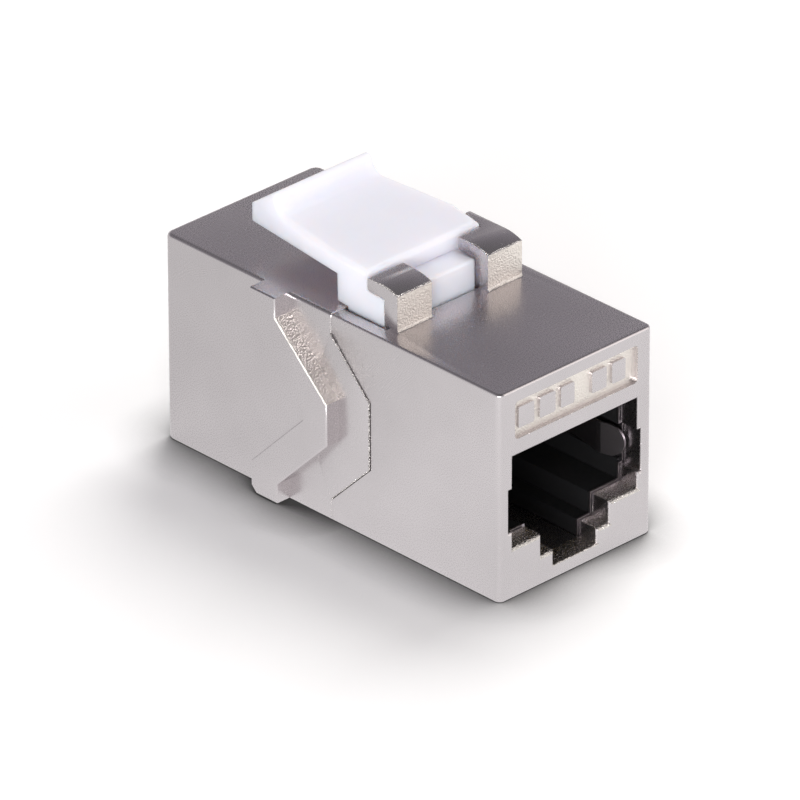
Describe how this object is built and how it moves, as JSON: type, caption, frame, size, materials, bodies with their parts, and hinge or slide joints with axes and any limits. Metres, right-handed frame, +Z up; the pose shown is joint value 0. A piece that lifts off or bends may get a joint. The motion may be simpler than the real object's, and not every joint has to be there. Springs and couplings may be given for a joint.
{
  "type": "keystone network coupler",
  "caption": "Shielded keystone coupler with a cast metal housing, a plug socket at each end, chevron side ribs and a white snap latch held by hooks.",
  "frame": {"origin": "centre of the underside", "axes": "+X across the width, to the right seen from the front socket; -Y out of the front socket; +Z up through the latch"},
  "size_m": [0.017, 0.033, 0.0213],
  "materials": {
    "cast_metal": "satin nickel plating on cast zinc",
    "white_plastic": "satin",
    "black_plastic": "matt",
    "comb_plastic": "matt",
    "shield_metal": "bright tinned",
    "contact_metal": "gold plated",
    "board": "solder resist"
  },
  "bodies": {
    "housing": {"front_shell": "cast_metal", "rear_shell": "cast_metal", "front_insert": "black_plastic", "front_shield": "shield_metal", "front_comb": "comb_plastic", "rear_insert": "black_plastic", "rear_shield": "shield_metal", "rear_comb": "comb_plastic", "circuit_board": "board", "front_contact_1": "contact_metal", "front_contact_2": "contact_metal", "front_contact_3": "contact_metal", "front_contact_4": "contact_metal", "front_contact_5": "contact_metal", "front_contact_6": "contact_metal", "front_contact_7": "contact_metal", "front_contact_8": "contact_metal", "rear_contact_1": "contact_metal", "rear_contact_2": "contact_metal", "rear_contact_3": "contact_metal", "rear_contact_4": "contact_metal", "rear_contact_5": "contact_metal", "rear_contact_6": "contact_metal", "rear_contact_7": "contact_metal", "rear_contact_8": "contact_metal"},
    "latch_lever": {"latch": "white_plastic"}
  },
  "joints": [
    {"name": "latch_press", "type": "hinge", "parent": "housing", "child": "latch_lever", "pos_m": [0, -0.0012, 0.017], "axis": [-1, 0, 0], "range_deg": [0, 4], "stiffness_Nm_per_rad": 0.8}
  ]
}
